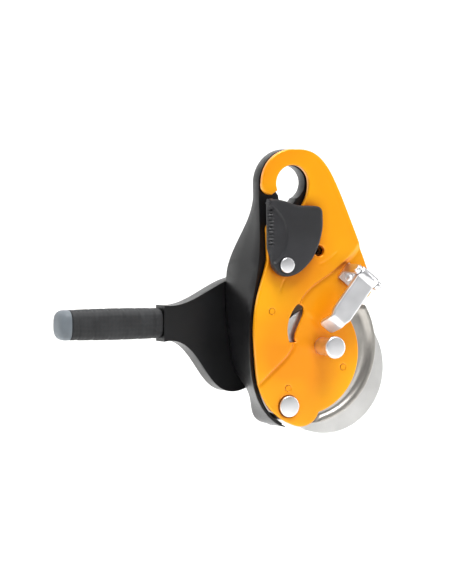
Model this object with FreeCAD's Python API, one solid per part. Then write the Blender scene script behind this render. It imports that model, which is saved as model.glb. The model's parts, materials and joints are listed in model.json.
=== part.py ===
import FreeCAD, Part
import math
import os

"""Self-braking rope descender with a swinging side plate, an eccentric cam and an auxiliary brake.

Millimetres. X points right and Y to the back as seen from the side plate, and Z points up.
The origin is the centre of the attachment eye, on the fixed body.
"""

V = FreeCAD.Vector
BACK = V(0, 1, 0)

# Rope that the device is made for
rope_d = 11.5
rope_room = 1.5  # how much wider the groove is than the rope

# Depths, from the front to the back
plate_front = -8.5
plate_t = 3.0
liner_t = 1.0
side_gap = 0.3  # between the liner and the body's front edge
cam_gap = 0.4  # between the cam and each wall beside it
flange_t = 2.5
wall_t = 3.0
drive_room = 6.6  # depth of the chamber that holds the handle's drive
cover_t = 2.0
hub_gap = 0.6

plate_back = plate_front + plate_t
liner_back = plate_back + liner_t
body_front = liner_back + side_gap
cam_front = liner_back + cam_gap
cam_t = 2 * flange_t + rope_d + rope_room
cam_back = cam_front + cam_t
chamber_back = cam_back + cam_gap
drive_front = chamber_back + wall_t
cover_front = drive_front + drive_room
body_back = cover_front + cover_t
hub_front = body_back + hub_gap

# Attachment eye and hook
eye_r = 9.0
hook_eye_r = 9.3
eye_rim = 8.5
eye_back = 3.0
eye_relief = V(-1.2, 0, -6.6)  # the eye runs on downwards, so that a carabiner can be turned in it
eye_relief_r = 5.2

# Cam and its axle
axle = V(-1.8, 0, -115.6)
axle_r = 4.0
axle_head_r = 5.5
axle_head_t = 1.6
bush_t = 1.5
running = 0.03  # radial clearance of a shaft that turns
boss_t = 2.0
cam_centre = V(21.4, 0, -96.6)
cam_r = 33.8
groove_depth = 8.0

# Body shell
shell_t = 2.2
depth_at_side = 27.0

# Side plate
recess_depth = 1.3
recess_floor = plate_front + recess_depth
lobe = V(6.9, 0, -88.2)
lobe_r = 32.2
dish = V(9.3, 0, -85.0)
dish_r = 40.6
dish_rim_t = 1.2
lock_screw = V(15.4, 0, -35.2)
lock_hole_r = 2.8
lock_thread_r = 2.0
lock_insert_r = 3.2
lock_insert_len = 6.0
rivet_r = 1.5

# Safety gate
gate_pivot = V(-6.4, 0, -42.1)
gate_gap = 0.3
gate_t = 5.6
gate_rivet_r = 2.5
gate_rivet_head_r = 4.0
gate_well_r = 4.6
gate_well_depth = 2.6

# Auxiliary brake
post = V(17.8, 0, -84.8)
post_r = 4.6
post_head_r = 5.7
post_head_t = 3.0
post_spigot_r = 3.0
brake_room = rope_d + 0.4  # from the channel's floor to the brake gate
brake_t = 3.0
brake_w = 11.5
brake_len = 27.5
lip_len = 8.0
lip_angle = 62.0
hinge = V(37.0, 0, -49.0)
brake_dir = 51.6  # degrees below -X that the brake gate runs
barrel_r = 2.7
brake_pin_r = 1.25
lug_t = 1.9
lug_gap = 0.3
foot_t = 1.5

# Handle
hub = V(-3.0, 0, -77.0)
hub_r = 27.0
hub_t = 12.0
arm_reach = 54.0
arm_half = 9.5
grip_z = -73.0
grip_len = 52.0
grip_half = 8.2
grip_t = 15.0
cap_len = 6.0
shaft_r = 4.0
shaft_bush_t = 1.5
button_r = 5.0
button_travel = 2.5
button_gap = 0.3
button_depth = 7.0
button_stand = 1.8
button_spring_r = 3.3
button_well = 3.0
button_at = V(-36.0, 0, -74.0)

# Cam drive
drive_pin = V(8.5, 0, -77.0)
drive_pin_r = 2.0
drive_t = 4.0
drive_gap = 0.35
handle_down, handle_up = -45.0, 90.0
cam_ratio = -0.06
slot_room = 0.6
drive_r = 12.5
cover_lip = 3.0
cover_screw_r = 1.25
cover_fit = 0.1

# Friction plate and the pin that stops the cam
friction_gap = 1.0
friction_pin_r = 2.0
cam_stop_r = 2.0
cam_stop_angle = 82.0

# Anti-error catch
catch_angle = -38.0  # round the cam's centre, from +X towards +Z
catch_pin_r = 1.5
catch_r = 4.0
catch_len = 8.5
catch_rest = -80.0
catch_swing = 60.0


def shifted(place, y):
    """The same place at another depth."""
    return V(place.x, y, place.z)


def wire(y, start, *steps):
    """A closed wire at depth y. A step of one point is a line, of two an arc, of more a spline."""
    here, edges = start, []
    for step in steps:
        points = [V(x, y, z) for x, z in (here, *step)]
        if len(step) == 1:
            edges.append(Part.makeLine(*points))
        elif len(step) == 2:
            edges.append(Part.Arc(*points).toShape())
        else:
            curve = Part.BSplineCurve()
            curve.interpolate(points)
            edges.append(curve.toShape())
        here = step[-1]
    if math.dist(here, start) > 1e-6:
        edges.append(Part.makeLine(V(here[0], y, here[1]), V(start[0], y, start[1])))
    return Part.Wire(edges)


def slab(y0, y1, start, *steps):
    """A plate with that outline, from depth y0 to y1."""
    return Part.Face(wire(y0, start, *steps)).extrude(V(0, y1 - y0, 0))


def rod(place, r, y0, y1):
    """A cylinder along Y, from depth y0 to y1."""
    return Part.makeCylinder(r, y1 - y0, shifted(place, y0), BACK)


def tube(place, r, bore, y0, y1):
    """A ring from depth y0 to y1."""
    return rod(place, r, y0, y1).cut(rod(place, bore, y0, y1))


def box(x0, x1, y0, y1, z0, z1):
    """A block between two values of X, Y and Z."""
    return Part.makeBox(x1 - x0, y1 - y0, z1 - z0, V(x0, y0, z0))


def turned(shape, about, degrees):
    """A copy turned about the Y axis through a place, clockwise as seen from the front."""
    copy = shape.copy()
    copy.rotate(about, BACK, degrees)
    return copy


def round_edges(shape, r, wanted):
    """Fillets the edges that the test picks, or as many as take the radius."""
    picked = [e for e in shape.Edges if wanted(e)]
    return shape.makeFillet(r, picked) if picked else shape


def on_depth(y):
    """Chooses the edges that lie in one depth."""
    return lambda e: all(abs(v.Point.y - y) < 1e-6 for v in e.Vertexes) and abs(e.CenterOfMass.y - y) < 1e-6


# The body's left side: X at its front edge, X at the depth depth_at_side, and Z
left_side = (
    (-17.2, -17.2, -18.0),
    (-17.2, -20.0, -36.0),
    (-19.3, -22.0, -52.0),
    (-22.2, -21.8, -68.0),
    (-22.9, -19.6, -84.0),
    (-21.6, -15.5, -100.0),
    (-17.8, -9.5, -112.5),
    (-12.2, -9.5, -120.5),
    (-4.5, -1.5, -126.0),
)


def side_points(y, inset, lowest=-200.0):
    """The left side's points at a depth, moved right by an inset."""
    share = (y - body_front) / (depth_at_side - body_front)
    return [(a + (b - a) * share + inset, z) for a, b, z in left_side if z > lowest]


def body_wire(y):
    """The moulded body's outline at a depth; its left side draws in towards the back."""
    r = eye_r + eye_rim
    return wire(
        y,
        (0, r),
        ((-r * math.sin(math.pi / 4), r * math.cos(math.pi / 4)), (-r, 0)),
        side_points(y, 0),
        ((0.0, -127.0),),
        ((14.0, -123.5), (27.0, -113.0), (34.0, -98.0), (33.5, -82.0), (35.0, -62.0), (39.5, -38.0)),
        ((31.8, -16.5), (24.0, 0.0), (14.5, 12.5), (0, r)),
    )


def back_shell():
    """The moulded body: an eye plate at the top, a chamber for the cam that is open to the right, and a drive room behind."""
    outer = Part.makeLoft([body_wire(body_front), body_wire(body_back)], True, True)
    side = Part.BSplineCurve()
    rise = [V(0, y, z) for y, z in ((eye_back, -7), (5.5, -13), (14, -24), (22, -35), (body_back, -46))]
    side.interpolate(rise)
    corners = [
        V(0, body_back, -46),
        V(0, body_back, -98),
        V(0, drive_front + 1, -108),
        V(0, drive_front, -130),
        V(0, body_front - 1, -130),
        V(0, body_front - 1, 25),
        V(0, eye_back, 25),
        V(0, eye_back, -7),
    ]
    profile = Part.Wire([side.toShape(), *(Part.makeLine(a, b) for a, b in zip(corners, corners[1:]))])
    along = Part.Face(profile).extrude(V(200, 0, 0))
    along.translate(V(-100, 0, 0))
    shell = outer.common(along)
    inner = [
        wire(
            y,
            (-12.5, -36.0),
            [(x, z) for x, z in side_points(y, shell_t) if z < -40],
            ((2.0, -150.0),),
            ((90.0, -150.0),),
            ((90.0, -36.0),),
        )
        for y in (body_front, chamber_back)
    ]
    chamber = Part.makeLoft(inner, True, True)
    mouth = Part.Face(inner[0]).extrude(V(0, -5, 0))
    shell = shell.cut(chamber).cut(mouth)
    shell = shell.cut(drive_room_shape(0, drive_front, cover_front + 0.1))
    shell = shell.cut(drive_room_shape(cover_lip, cover_front, body_back + 5))
    shell = shell.cut(rod(V(0, 0, 0), eye_r, body_front - 1, eye_back + 1))
    shell = shell.cut(rod(eye_relief, eye_relief_r, body_front - 1, 8.0))
    shell = shell.cut(rod(axle, axle_r, chamber_back - 1, body_back + 1))
    shell = shell.cut(rod(axle, axle_r + 3.2, drive_front - 0.5, body_back + 1))
    shell = shell.cut(pin_travel(slot_room, chamber_back - 1, drive_front + 1))
    shell = shell.cut(rod(lock_screw, lock_insert_r, body_front - 1, body_front + lock_insert_len))
    for place in friction_pins_at():
        shell = shell.cut(rod(place, friction_pin_r, chamber_back - 1, drive_front - 0.5))
    shell = shell.cut(rod(cam_stop_at(), cam_stop_r, chamber_back - 1, drive_front))
    for place in cover_screws_at():
        shell = shell.cut(rod(place, cover_screw_r, cover_front - 6, body_back + 1))
    return shell


def pin_travel(room, y0, y1):
    """The arc that the drive pin travels, with room all round it."""
    reach = drive_pin.sub(axle).Length
    r = drive_pin_r + room
    turns = sorted((cam_ratio * handle_down, cam_ratio * handle_up))
    ends = [turned(rod(drive_pin, r, y0, y1), axle, t) for t in turns]
    middle = math.degrees(math.atan2(drive_pin.z - axle.z, drive_pin.x - axle.x))
    wedge = [(axle.x, axle.z)]
    for t in turns:
        a = math.radians(middle - t)
        wedge.append((axle.x + 2 * reach * math.cos(a), axle.z + 2 * reach * math.sin(a)))
    sector = slab(y0, y1, wedge[0], (wedge[1],), (wedge[2],))
    return tube(axle, reach + r, reach - r, y0, y1).common(sector).fuse(ends)


def drive_room_shape(grow, y0, y1):
    """The drive chamber's outline: round the shaft, with a bulge for the drive pin's travel."""
    return rod(hub, drive_r + grow, y0, y1).fuse(pin_travel(slot_room + 0.6 + grow, y0, y1))


def cam_stop_at():
    """Just past the cam's rear rim when the cam is closed as far as it goes."""
    arm = cam_centre.sub(axle)
    travel = math.radians(abs(cam_ratio * handle_up)) * arm.Length
    a = math.radians(cam_stop_angle)
    towards = math.cos(a) * -arm.z / arm.Length + math.sin(a) * arm.x / arm.Length
    r = cam_r + travel * towards + cam_stop_r + 0.5
    return V(cam_centre.x + r * math.cos(a), 0, cam_centre.z + r * math.sin(a))


def friction_pins_at():
    """Two pins that hold the friction plate, above and left of the cam."""
    return [V(-8.5, 0, -66.0), V(8.0, 0, -53.5)]


def cover_screws_at():
    """Four screws round the cover's lip."""
    r = drive_r + cover_lip / 2
    angles = [math.radians(a) for a in (90, 150, 210, 270)]
    return [V(hub.x + r * math.cos(a), 0, hub.z + r * math.sin(a)) for a in angles]


def friction_plate():
    """A wear block whose face follows the rope over the cam."""
    gap = cam_r - groove_depth + rope_d + friction_gap
    y0 = cam_front + flange_t + 1.0
    face = rod(cam_centre, gap, y0 - 1, chamber_back + 1)
    block = slab(
        y0,
        chamber_back,
        (-14.5, -76.0),
        ((-14.5, -63.0),),
        ((-9.0, -52.0), (2.0, -44.5)),
        ((16.0, -44.5),),
        ((18.0, -58.0),),
        ((-8.0, -80.0),),
    )
    return block.cut([face, *friction_pins()])


def friction_pins():
    """Two dowels that hold the friction plate in the body."""
    return [rod(p, friction_pin_r, chamber_back - 8, drive_front - 0.5) for p in friction_pins_at()]



def cam():
    """A grooved disc with a boss for its axle, a pocket for the catch and the drive pin's bore."""
    groove_r = cam_r - groove_depth
    y0, y1 = cam_front, cam_back
    section = Part.makePolygon([
        V(0, y0, 0), V(cam_r, y0, 0), V(cam_r, y0 + flange_t * 0.6, 0),
        V(groove_r + 1.5, y0 + flange_t + 1.0, 0), V(groove_r, y0 + flange_t + 3.5, 0),
        V(groove_r, y1 - flange_t - 3.5, 0), V(groove_r + 1.5, y1 - flange_t - 1.0, 0),
        V(cam_r, y1 - flange_t * 0.6, 0), V(cam_r, y1, 0), V(0, y1, 0), V(0, y0, 0),
    ])
    disc = Part.Face(section).revolve(V(0, 0, 0), BACK, 360)
    disc.translate(cam_centre)
    boss = rod(axle, axle_r + running + bush_t + boss_t, y0, y1)
    web = slab(
        y0 + flange_t + 1, y1 - flange_t - 1,
        (axle.x, axle.z - axle_r), ((axle.x - 2, axle.z + axle_r + 2),),
        ((cam_centre.x - groove_r, cam_centre.z),), ((cam_centre.x, cam_centre.z - groove_r),),
    )
    body = disc.fuse([boss, web])
    body = body.cut(rod(axle, axle_r + running + bush_t, y0 - 1, y1 + 1))
    body = body.cut(rod(drive_pin, drive_pin_r, y1 - 6, y1 + 1))
    y2, y3 = catch_depths()
    y2, y3 = y2 - 0.3, y3 + 0.3
    pin = catch_at()
    reach = catch_len + 1.0
    sweep = [
        turned_box(pin, 0, reach, -catch_r - 0.4, catch_r + 0.4, y2, y3, catch_angle + catch_rest + turn)
        for turn in (0, catch_swing / 3, catch_swing * 2 / 3, catch_swing)
    ]
    pocket = rod(pin, catch_r + 0.4, y2, y3).fuse(sweep)
    return body.cut(pocket).cut(rod(pin, catch_pin_r, y0 + 0.5, y1 - 0.5))


def turned_box(about, x0, x1, z0, z1, y0, y1, angle):
    """A block laid out from a place along a direction, in degrees from +X towards +Z."""
    block = box(about.x + x0, about.x + x1, y0, y1, about.z + z0, about.z + z1)
    return turned(block, shifted(about, 0), -angle)


def catch_at():
    """The catch's pivot, on the cam's rim."""
    a = math.radians(catch_angle)
    r = cam_r - groove_depth - catch_r - 1.0
    return V(cam_centre.x + r * math.cos(a), 0, cam_centre.z + r * math.sin(a))


def catch_depths():
    """The depths between which the catch lies."""
    return cam_front + flange_t + 2.5, cam_back - flange_t - 2.5


def catch():
    """A toothed lever that stands in the groove and bites a rope that is put in backwards."""
    y0, y1 = catch_depths()
    pin = catch_at()
    angle = catch_angle + catch_rest
    arm = turned_box(pin, 0, catch_len - 2, -catch_r, catch_r - 1, y0, y1, angle)
    body = rod(pin, catch_r, y0, y1).fuse(arm)
    for k in range(3):
        x, z = pin.x + catch_len - 2, pin.z - catch_r + 1.1 + k * 2.3
        tooth = slab(y0, y1, (x - 0.5, z - 1.1), ((x + 1.8, z),), ((x - 0.5, z + 1.1),))
        body = body.fuse(turned(tooth, shifted(pin, 0), -angle))
    return body.cut(rod(pin, catch_pin_r + running, y0 - 1, y1 + 1))


def drive_cam():
    """A disc whose edge follows the drive pin, a fixed gap off it, over the handle's whole travel."""
    edge = []
    steps = 12
    for k in range(steps + 1):
        phi = handle_down + (handle_up - handle_down) * k / steps
        t = math.radians(cam_ratio * phi)
        dx, dz = drive_pin.x - axle.x, drive_pin.z - axle.z
        px = axle.x + dx * math.cos(t) + dz * math.sin(t) - hub.x
        pz = axle.z - dx * math.sin(t) + dz * math.cos(t) - hub.z
        back = math.radians(-phi)
        qx, qz = px * math.cos(back) + pz * math.sin(back), -px * math.sin(back) + pz * math.cos(back)
        share = 1 - (drive_pin_r + drive_gap) / math.hypot(qx, qz)
        edge.append((hub.x + qx * share, hub.z + qz * share))
    y0 = drive_front + 1.0
    low = min(math.dist(p, (hub.x, hub.z)) for p in edge) - 0.3
    sector = slab(y0, y0 + drive_t, (hub.x, hub.z), (edge[0],), edge[1:], ((hub.x, hub.z),))
    return sector.fuse(rod(hub, low, y0, y0 + drive_t)).cut(rod(hub, shaft_r, y0 - 1, y0 + drive_t + 1))


hook_outline = (
    ((-8.6, -3.6),),
    ((-hook_eye_r, 0.5), (0, hook_eye_r)),
    ((hook_eye_r * math.sqrt(0.5), hook_eye_r * math.sqrt(0.5)), (hook_eye_r, 0)),
    ((8.0, -7.5), (3.0, -14.5), (-4.0, -18.0), (-13.0, -20.0)),
    ((-14.6, -22.0), (-14.9, -25.0)),
    ((-14.3, -39.7),),
)


# The lower half lies deeper than the upper half, below an edge that curves round the auxiliary brake
recess_outline = (
    ((38.5, -30.5),),
    ((30.5, -40.0), (22.0, -46.5), (13.0, -52.0), (6.0, -58.5), (2.5, -66.0), (1.0, -76.0), (-0.5, -84.5),
     (-8.0, -93.0), (-21.0, -104.0), (-40.0, -114.0)),
    ((-40.0, -150.0),),
    ((60.0, -150.0),),
)


def side_plate():
    """A flat plate with a hook at the top that opens to the left, and a round lobe below."""
    r = eye_r + eye_rim
    outline = (
        (-12.0, -6.0),
        *hook_outline,
        ((-16.6, -48.0), (-19.9, -59.0), (-21.9, -75.0), (-20.9, -93.0), (-19.2, -104.3), (-14.8, -113.6),
         (-7.5, -121.0), (3.5, -126.2)),
        ((10.0, -125.5), (16.0, -119.1)),
        ((lobe.x + lobe_r * 0.789, lobe.z - lobe_r * 0.615), (lobe.x + lobe_r, lobe.z)),
        ((lobe.x + lobe_r * 0.985, lobe.z + 5.6), (lobe.x + lobe_r * 0.86, lobe.z + lobe_r * 0.51)),
        ((38.5, -66.0), (44.5, -60.0)),
        ((47.2, -56.0), (46.2, -50.0)),
        ((40.4, -34.5), (32.8, -16.5), (25.0, 0.6), (16.0, 13.2), (2.0, r)),
        ((-12.6, 12.4), (-r, 0.5)),
        ((-16.4, -4.2), (-12.0, -6.0)),
    )
    plate = slab(plate_front, plate_back, *outline)
    recess = slab(plate_front - 1, recess_floor, (60.0, -28.0), *recess_outline)
    window = slab(
        plate_front - 1, plate_back + 1,
        (-1.6, -82.4), ((-2.3, -72.0), (3.2, -62.6)), ((6.5, -64.0), (4.8, -72.0), (2.6, -82.4)),
    )
    plate = plate.cut(recess).cut(window)
    plate = plate.cut(rod(axle, axle_r + running + bush_t, plate_front - 1, plate_back + 1))
    plate = plate.cut(rod(lock_screw, lock_hole_r, plate_front - 1, plate_back + 1))
    plate = plate.cut(rod(gate_pivot, gate_rivet_r, plate_front - 1, plate_back + 1))
    plate = plate.cut(rod(post, post_spigot_r, plate_front - 1, plate_back + 1))
    for place in (*liner_rivets_at(), *bracket_rivets_at()):
        plate = plate.cut(rod(place, rivet_r, plate_front - 1, plate_back + 1))
    return plate


def liner_rivets_at():
    """Places of the flush rivets that hold the steel liner to the side plate."""
    return [V(-12.0, 0, -66.0), V(-2.0, 0, -106.2), V(30.0, 0, -96.0)]


def bracket_rivets_at():
    """Places of the rivets in the brake bracket's foot."""
    return [along_brake(3.0, s * 3.4) for s in (-1, 1)]


def along_brake(down, across):
    """A place measured from the hinge: along the brake gate and across it."""
    a = math.radians(brake_dir)
    ux, uz = -math.cos(a), -math.sin(a)
    return V(hinge.x + ux * down - uz * across, 0, hinge.z + uz * down + ux * across)


def brake_flange():
    """A steel liner behind the lobe whose rim is dished and stands out past it on the right."""
    y0, y1 = plate_back, liner_back
    section = Part.makePolygon([
        V(0, y0, 0), V(lobe_r - 3.5, y0, 0), V(lobe_r - 0.5, y0 + 0.25, 0), V(dish_r - 3.6, y0, 0),
        V(dish_r - 1.2, y0 - dish_rim_t, 0), V(dish_r, y0 - dish_rim_t, 0), V(dish_r, y1 - 0.5, 0),
        V(dish_r - 0.5, y1, 0), V(0, y1, 0), V(0, y0, 0),
    ])
    disc = Part.Face(section).revolve(V(0, 0, 0), BACK, 360)
    disc.translate(dish)
    keep = slab(
        y0 - 5, y1 + 5, (-12.5, -118.0),
        ((-18.5, -104.0), (-20.0, -92.0), (-20.8, -76.0), (-16.5, -58.0)), ((8.0, -56.0),), ((30.0, -62.0),),
        ((60.0, -66.0),), ((60.0, -130.0),), ((4.0, -130.0),), ((2.0, -124.0),),
    )
    body = disc.common(keep)
    body = body.cut(rod(axle, axle_r + 3.0, y0 - 3, y1 + 1))
    window = slab(y0 - 3, y1 + 1, (-2.6, -83.4), ((-3.3, -72.0), (2.8, -61.0)), ((7.5, -63.5), (5.8, -72.0), (3.6, -83.4)))
    body = body.cut(window)
    body = body.cut(rod(post, post_spigot_r, y0 - 1, y1 + 1))
    for place in liner_rivets_at():
        body = body.cut(rod(place, rivet_r, y0 - 1, y1 + 1))
    return body.cut(side_plate())


def brake_post():
    """A polished post with a mushroom head, on a spigot through the plate."""
    head = recess_floor - brake_room - brake_t + 1.0
    neck = rod(post, post_r, head, recess_floor)
    top = rod(post, post_head_r, head - post_head_t + 1.2, head + 1.2)
    top = round_edges(top, 0.9, on_depth(head - post_head_t + 1.2))
    spigot = rod(post, post_spigot_r, recess_floor - 1, liner_back)
    return neck.fuse([top, spigot])


def brake_bar(x0, x1, w0, w1, y0, y1):
    """A block laid along the brake gate: down it from the hinge, across it, and in depth."""
    block = box(hinge.x - x1, hinge.x - x0, y0, y1, hinge.z + w0, hinge.z + w1)
    return turned(block, shifted(hinge, 0), -brake_dir)


def brake_depths():
    """The brake gate's front and back depth, which leave room for the rope under it."""
    under = recess_floor - brake_room
    return under - brake_t, under


def hinge_line(r, w0, w1):
    """A cylinder on the brake gate's hinge, between two places across it."""
    y0, y1 = brake_depths()
    line = Part.makeCylinder(r, w1 - w0, V(hinge.x, (y0 + y1) / 2, hinge.z + w0), V(0, 0, 1))
    return turned(line, shifted(hinge, 0), -brake_dir)


def brake_gate():
    """A folded steel gate: a barrel, a flat body over the rope and a lip bent down to the post."""
    y0, y1 = brake_depths()
    half = brake_w / 2
    body = brake_bar(0, brake_len, -half, half, y0, y1)
    lip = box(hinge.x - brake_len - lip_len, hinge.x - brake_len, y0, y1, hinge.z - half + 1.2, hinge.z + half - 1.2)
    lip.rotate(V(hinge.x - brake_len, y1, hinge.z), V(0, 0, 1), -lip_angle)
    fold = Part.makeCylinder(brake_t, brake_w - 2.4, V(hinge.x - brake_len, y1, hinge.z - half + 1.2), V(0, 0, 1))
    corner = box(hinge.x - brake_len - brake_t, hinge.x - brake_len + 0.5, y0, y1, hinge.z - half, hinge.z + half)
    tip = turned(lip.fuse(fold.common(corner)), shifted(hinge, 0), -brake_dir)
    gate = body.fuse([hinge_line(barrel_r, -half, half), tip])
    return gate.cut(hinge_line(brake_pin_r + running, -half - 1, half + 1))


def brake_bracket():
    """A foot riveted to the plate with a lug at each end of the brake gate's barrel."""
    y0, y1 = brake_depths()
    half = brake_w / 2 + lug_gap
    foot = brake_bar(-3.2, 6.5, -half - lug_t, half + lug_t, recess_floor - foot_t, recess_floor)
    lugs = []
    for w0 in (-half - lug_t, half):
        lug = brake_bar(-2.6, 2.6, w0, w0 + lug_t, (y0 + y1) / 2, recess_floor - 1)
        lugs += [lug, hinge_line(2.6, w0, w0 + lug_t)]
    bracket = foot.fuse(lugs).cut(hinge_line(brake_pin_r, -half - 5, half + 5))
    for place in bracket_rivets_at():
        bracket = bracket.cut(rod(place, rivet_r, recess_floor - 3, recess_floor + 1))
    return bracket


def brake_pin():
    """The brake gate's hinge pin, headed at both ends."""
    half = brake_w / 2 + lug_gap + lug_t
    return hinge_line(brake_pin_r, -half, half).fuse(
        [hinge_line(brake_pin_r + 0.7, -half - 0.8, -half), hinge_line(brake_pin_r + 0.7, half, half + 0.8)]
    )


def rivets(places, y0, y1, head_t):
    """Round-headed rivets from depth y0 to y1, with the heads in front."""
    heads = []
    for place in places:
        head = Part.makeSphere(rivet_r * 1.9, shifted(place, y0 + rivet_r * 1.9 - head_t))
        heads.append(head.common(rod(place, rivet_r * 2, y0 - head_t, y0)).fuse(rod(place, rivet_r, y0, y1)))
    return heads


def safety_gate():
    """A thumb-operated plastic gate in front of the hook's mouth, with ribs down its left edge."""
    y1 = plate_front - gate_gap
    y0 = y1 - gate_t
    body = slab(
        y0, y1, (-16.2, -9.6),
        ((-12.0, -8.0), (-7.0, -8.9), (0.4, -11.3)),
        ((11.1, -11.7),), ((14.3, -13.2), (15.0, -17.0)),
        ((14.8, -24.0), (12.6, -32.0), (8.6, -39.5), (2.5, -45.5)),
        ((-8.0, -48.2), (-13.6, -42.0)), ((-14.3, -37.7),), ((-15.9, -33.5),),
    )
    body = round_edges(body, 1.4, on_depth(y0))
    ribs = 11
    for k in range(ribs):
        z = -14.0 - k * 1.8
        notch = Part.makeCylinder(0.55, gate_t + 2, V(-16.1 + 0.1, y0 - 1, z), BACK)
        body = body.cut(notch)
    spring_well = rod(gate_pivot, gate_well_r, y1 - gate_well_depth, y1 + 1)
    return body.cut(spring_well).cut(rod(gate_pivot, gate_rivet_r + running, y0 - 1, y1 + 1))


def coil(place, r, wire_r, y0, turns, pitch):
    """Spring turns, each a ring."""
    return [
        Part.makeTorus(r, wire_r, shifted(place, y0 + wire_r + k * pitch), BACK) for k in range(turns)
    ]


def gate_spring():
    """A flat coil in the well behind the safety gate."""
    y1 = plate_front - gate_gap
    rings = coil(gate_pivot, gate_rivet_r + 0.9, 0.4, y1 - gate_well_depth + 0.5, 3, 0.7)
    return rings[0].fuse(rings[1:])


def gate_rivet():
    """The rivet that the safety gate turns on."""
    y0 = plate_front - gate_gap - gate_t - 0.2
    head = round_edges(rod(gate_pivot, gate_rivet_head_r, y0 - 1.2, y0), 0.5, on_depth(y0 - 1.2))
    return head.fuse(rod(gate_pivot, gate_rivet_r, y0, plate_back))


def cam_axle():
    """The cam's axle, headed in front of the side plate."""
    y0 = recess_floor - side_gap
    head = round_edges(rod(axle, axle_head_r, y0 - axle_head_t, y0), 0.6, on_depth(y0 - axle_head_t))
    return head.fuse([rod(axle, axle_r, y0, drive_front + 3)])


def axle_nut():
    """The nut that holds the axle in the body."""
    hexagon = [(axle.x + 7 * math.cos(math.radians(a)), axle.z + 7 * math.sin(math.radians(a))) for a in range(0, 360, 60)]
    nut = slab(drive_front - 0.5, drive_front + 2.5, hexagon[0], *((p,) for p in hexagon[1:]))
    return nut.cut(rod(axle, axle_r, drive_front - 1, drive_front + 4))


def handle_arm():
    """A broad hub behind the body that narrows to an arm on the left."""
    y0, y1 = hub_front, hub_front + hub_t
    x_end = hub.x - arm_reach
    arm = slab(
        y0, y1, (hub.x, hub.z + hub_r),
        ((hub.x - 26, hub.z + hub_r - 5.0), (x_end + 12, grip_z + arm_half + 1), (x_end, grip_z + arm_half)),
        ((x_end, grip_z - arm_half),),
        ((x_end + 12, grip_z - arm_half - 2), (hub.x - 26, hub.z - hub_r + 0.5), (hub.x, hub.z - hub_r)),
        ((hub.x + hub_r, hub.z), (hub.x, hub.z + hub_r)),
    )
    arm = round_edges(arm, 2.0, on_depth(y1))
    core = box(x_end - grip_len, x_end + 1, y0 + 4, y1 - 3, grip_z - grip_half + 4, grip_z + grip_half - 4)
    arm = arm.fuse(core)
    arm = arm.cut(rod(hub, shaft_r, y0 - 1, y1 + 1))
    return arm.cut(rod(button_at, button_r + button_gap, y1 - button_depth, y1 + 1))


def handle_button():
    """A button in the handle's hub, hollowed for its spring."""
    y1 = hub_front + hub_t
    body = rod(button_at, button_r, y1 - button_depth + button_travel + 0.3, y1 + button_stand)
    body = round_edges(body, 0.8, on_depth(y1 + button_stand))
    y0 = y1 - button_depth
    well = tube(button_at, button_spring_r + 0.7, button_spring_r - 0.7, y0, y0 + button_travel + 0.3 + button_well)
    return body.cut(well)


def button_spring():
    """Separate turns of wire under the button."""
    y1 = hub_front + hub_t
    rings = coil(button_at, button_spring_r, 0.35, y1 - button_depth, 4, 0.66)
    return rings[0].fuse(rings[1:])


def grip_box():
    """The grip's extent: X from and to, Y from and to."""
    x1 = hub.x - arm_reach
    y_mid = hub_front + hub_t / 2
    return x1 - grip_len, x1, y_mid - grip_t / 2 + 1.5, y_mid + grip_t / 2 + 1.5


def handle_grip():
    """A soft sleeve over the arm's core."""
    x0, x1, y0, y1 = grip_box()
    grip = box(x0, x1, y0, y1, grip_z - grip_half, grip_z + grip_half)
    grip = round_edges(grip, 5.0, lambda e: abs(e.tangentAt(e.FirstParameter).x) > 0.99)
    core = box(x0 - 1, x1 + 1, hub_front + 4, hub_front + hub_t - 3, grip_z - grip_half + 4, grip_z + grip_half - 4)
    return grip.cut(core)


def handle_cap():
    """The rounded end cap of the handle."""
    x0, x1, y0, y1 = grip_box()
    cap = box(x0 - cap_len, x0, y0, y1, grip_z - grip_half, grip_z + grip_half)
    cap = round_edges(cap, 4.2, lambda e: abs(e.tangentAt(e.FirstParameter).x) > 0.99)
    return round_edges(cap, 2.5, lambda e: all(abs(v.Point.x - (x0 - cap_len)) < 1e-6 for v in e.Vertexes))


def handle_shaft():
    """The shaft that carries the handle's turn through the body to the drive cam."""
    y1 = hub_front + hub_t
    shaft = rod(hub, shaft_r, drive_front + 0.4, y1)
    head = round_edges(rod(hub, shaft_r + 3.5, y1, y1 + 1.8), 0.6, on_depth(y1 + 1.8))
    return shaft.fuse(head)


def rear_cover():
    """The lid of the drive chamber, let into the body's back and held by screws round its lip."""
    lid = drive_room_shape(cover_lip - cover_fit, cover_front, body_back)
    lid = lid.cut(rod(hub, shaft_r + running + shaft_bush_t, cover_front - 1, body_back + 1))
    for place in cover_screws_at():
        lid = lid.cut(rod(place, cover_screw_r + cover_fit, cover_front - 1, body_back + 1))
    return lid


def cover_screws():
    """The screws that hold the rear cover."""
    return [rod(p, cover_screw_r, cover_front - 5, body_back + 0.2) for p in cover_screws_at()]


def return_spring():
    """A flat spiral in the drive chamber, round the shaft."""
    y0, y1 = cover_front - 1.0, cover_front - 0.2
    rings = [tube(hub, r + 0.4, r - 0.4, y0, y1) for r in (6.5, 8.5, 10.5)]
    spoke = box(hub.x + 6.2, hub.x + 10.5, y0, y1, hub.z - 0.5, hub.z + 0.5)
    return rings[0].fuse([*rings[1:], spoke])


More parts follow.
